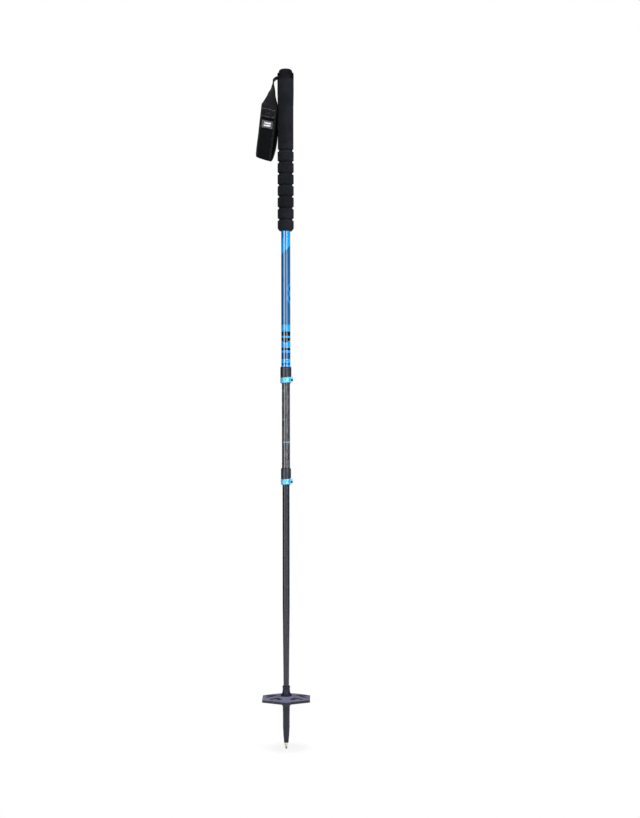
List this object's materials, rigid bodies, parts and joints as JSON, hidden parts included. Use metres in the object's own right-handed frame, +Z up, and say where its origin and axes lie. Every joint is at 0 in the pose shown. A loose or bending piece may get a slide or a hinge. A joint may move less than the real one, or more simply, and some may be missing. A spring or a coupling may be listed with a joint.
{
  "type": "adjustable ski pole",
  "caption": "Telescoping ski pole with a foam grip, padded wrist strap, lever locks between its tube sections, a six-sided snow basket and a hard point on a flexible tip.",
  "frame": {"origin": "end of the carbide point, on the pole's axis", "axes": "+Z up the pole towards the grip, +X the side of the lever pivots, -X the side where the wrist strap hangs, -Y the side that the levers wrap round"},
  "size_m": [0.1062, 0.1088, 1.348],
  "materials": {
    "carbide": "ground hard metal, dull",
    "sleeve_metal": "turned steel, satin",
    "tip_plastic": "moulded tip plastic, satin black",
    "basket_plastic": "moulded, matt blue-grey",
    "slate_tube": "satin slate anodising",
    "grey_tube": "grey with a streaked weave, light blue rings",
    "blue_tube": "glossy blue with black graphic bands",
    "lock_plastic": "glass-filled plastic, matt dark grey",
    "lever_plastic": "moulded light blue, satin",
    "plate_steel": "plain steel",
    "screw_steel": "blackened steel",
    "guide_plastic": "moulded, plain",
    "grip_foam": "closed-cell foam, matt near-black",
    "head_plastic": "moulded, fine grain",
    "strap_webbing": "woven polyester webbing",
    "strap_padding": "brushed lining over thin foam",
    "strap_patch": "woven patch, plain"
  },
  "bodies": {
    "upper_section": {"grip_head": "head_plastic", "grip_cap": "head_plastic", "strap_pin": "plate_steel", "strap_wedge": "guide_plastic", "strap_root": "strap_webbing", "foam_upper": "grip_foam", "foam_lower": "grip_foam", "upper_tube": "blue_tube", "upper_lock_collar": "lock_plastic", "upper_lock_plate": "plate_steel", "upper_lock_pin": "plate_steel", "upper_lock_screw": "screw_steel"},
    "upper_lever": {"upper_lock_lever": "lever_plastic"},
    "middle_section": {"middle_tube": "grey_tube", "middle_guide": "guide_plastic", "lower_lock_collar": "lock_plastic", "lower_lock_plate": "plate_steel", "lower_lock_pin": "plate_steel", "lower_lock_screw": "screw_steel"},
    "lower_lever": {"lower_lock_lever": "lever_plastic"},
    "lower_section": {"lower_tube": "slate_tube", "lower_guide": "guide_plastic", "flex_tip": "tip_plastic", "tip_sleeve": "sleeve_metal", "carbide_tip": "carbide"},
    "basket": {"snow_basket": "basket_plastic"},
    "strap": {"strap_neck": "strap_webbing", "strap_front": "strap_webbing", "strap_back": "strap_webbing", "strap_band": "strap_padding", "strap_label": "strap_patch", "strap_keeper": "strap_padding"}
  },
  "joints": [
    {"name": "middle_slide", "type": "slide", "parent": "upper_section", "child": "middle_section", "axis": [0, 0, 1], "range_m": [-0.03, 0.165]},
    {"name": "lower_slide", "type": "slide", "parent": "middle_section", "child": "lower_section", "axis": [0, 0, 1], "range_m": [-0.02, 0.392]},
    {"name": "upper_lever_swing", "type": "hinge", "parent": "upper_section", "child": "upper_lever", "pos_m": [0.0111, -0.0084, 0.7321], "axis": [0, 0, 1], "range_deg": [0, 150]},
    {"name": "lower_lever_swing", "type": "hinge", "parent": "middle_section", "child": "lower_lever", "pos_m": [0.0103, -0.0084, 0.5307], "axis": [0, 0, 1], "range_deg": [0, 150]},
    {"name": "strap_swing", "type": "hinge", "parent": "upper_section", "child": "strap", "pos_m": [-0.0198, 0, 1.3291], "axis": [0, 1, 0], "range_deg": [0, 110]},
    {"name": "basket_slide", "type": "slide", "parent": "lower_section", "child": "basket", "axis": [0, 0, -1], "range_m": [0, 0.115]}
  ]
}
